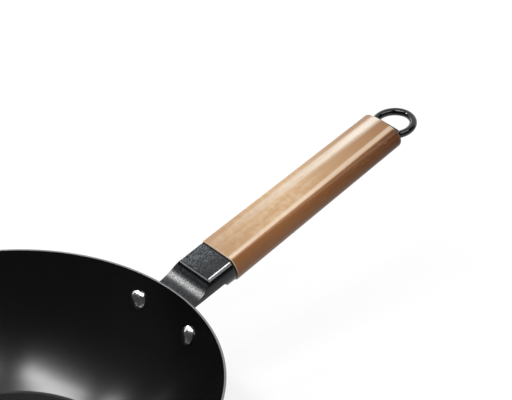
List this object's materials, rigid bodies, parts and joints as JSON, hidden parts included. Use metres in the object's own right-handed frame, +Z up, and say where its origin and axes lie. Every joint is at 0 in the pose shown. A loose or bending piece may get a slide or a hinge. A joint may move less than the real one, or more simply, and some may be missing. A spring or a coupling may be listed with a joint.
{
  "type": "wok",
  "caption": "Round wok with a small flat base, a riveted steel handle bracket, a long wooden grip and a hanging ring.",
  "frame": {"origin": "centre of the flat base's underside, on the surface that the wok stands on", "axes": "+Z up out of the bowl's mouth, +X from the bowl's axis towards the handle and its ring, +Y to the left when looking along +X from above"},
  "size_m": [0.5616, 0.3196, 0.1481],
  "materials": {
    "black_steel": "satin black seasoned sheet steel with a bare rim edge",
    "bracket_steel": "glossy black enamel over pressed steel, finely mottled on its top",
    "polished_steel": "polished stainless rivets",
    "plated_steel": "zinc plated, hidden inside the handle",
    "gasket_rubber": "matt black heat-resistant gasket",
    "varnished_wood": "light brown wood under a clear gloss varnish",
    "ring_enamel": "glossy black enamel over cast metal"
  },
  "bodies": {
    "root": {"wok_bowl": "black_steel", "bowl_rivets": "polished_steel", "handle_bracket": "bracket_steel", "socket_plate": "plated_steel", "rod_nut": "plated_steel", "heat_gasket": "gasket_rubber", "wood_grip": "varnished_wood", "tie_rod": "plated_steel", "hanging_ring": "ring_enamel"}
  },
  "joints": []
}
